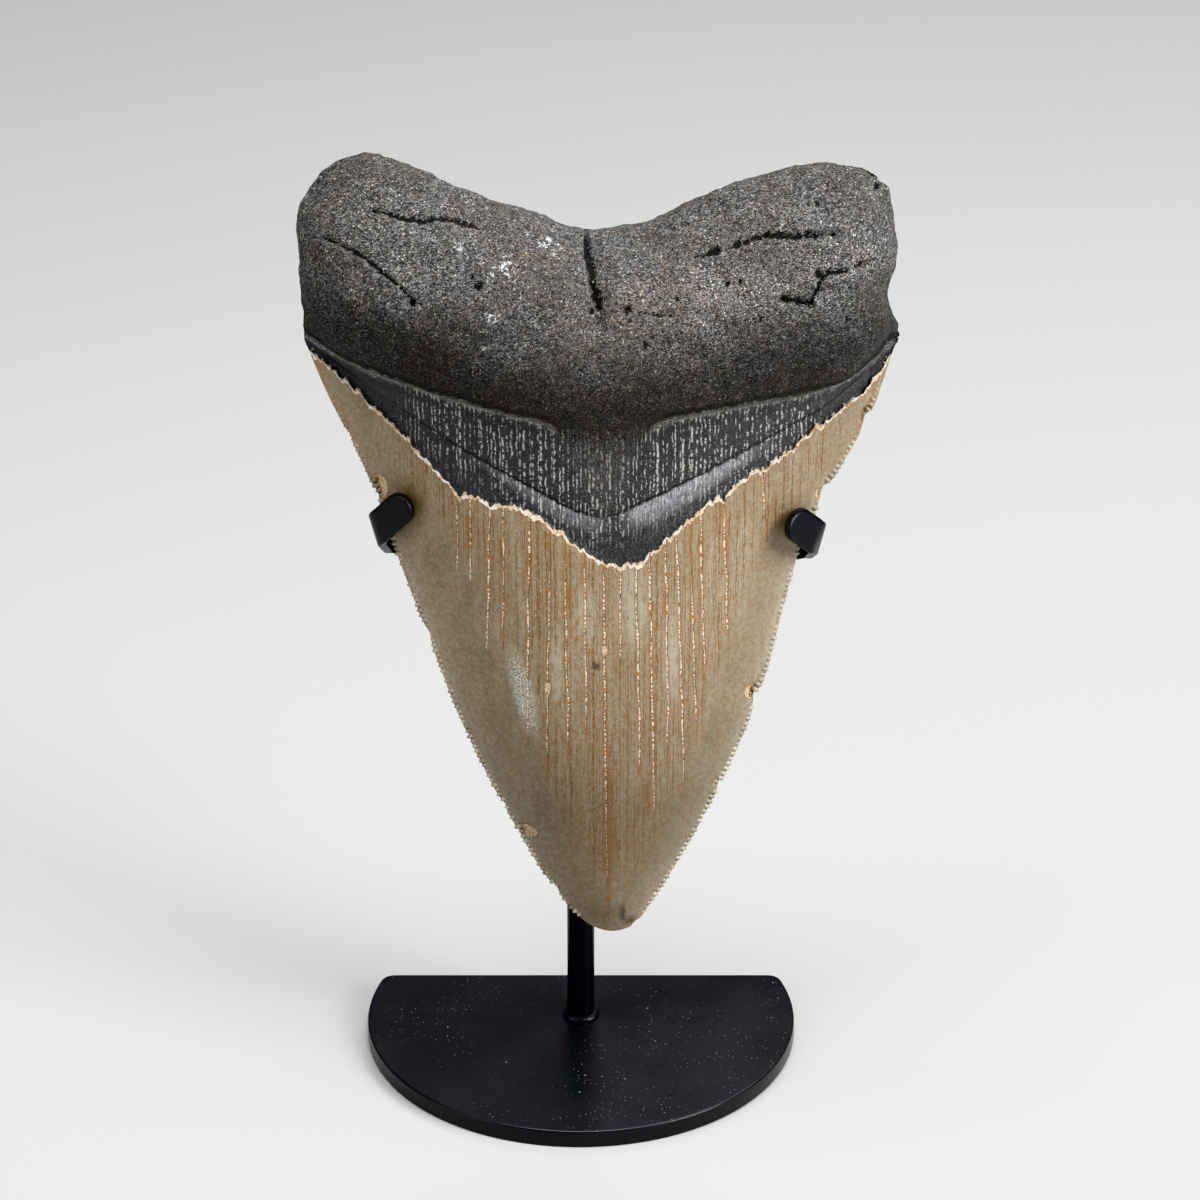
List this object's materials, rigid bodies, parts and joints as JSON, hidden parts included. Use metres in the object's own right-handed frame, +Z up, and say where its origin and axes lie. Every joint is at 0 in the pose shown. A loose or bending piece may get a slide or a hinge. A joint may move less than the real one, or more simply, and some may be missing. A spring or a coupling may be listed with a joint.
{
  "type": "fossil shark tooth on display stand",
  "caption": "Large serrated fossil shark tooth, root up, gripped at both cutting edges by a bent strip holder on a post and a D-shaped base plate.",
  "frame": {"origin": "On the table, under the centre of the post's foot and of the base plate's round edge", "axes": "+Z up along the post, -Y towards the viewer who sees the tooth's bulging face, +X to that viewer's right; the plate's straight edge is at the back, +Y"},
  "size_m": [0.0978, 0.0515, 0.1666],
  "materials": {
    "tooth": "Fossil tooth: tan-brown semi-gloss enamel with lengthways cracks, and a dark grey grainy matt root",
    "holder_metal": "Black satin coating on flat steel strip",
    "post_metal": "Black satin coating on round steel rod",
    "plate_metal": "Black satin coating with a few dust specks on steel plate"
  },
  "bodies": {
    "root": {"tooth": "tooth", "bracket": "holder_metal", "post": "post_metal", "base_plate": "plate_metal"}
  },
  "joints": []
}
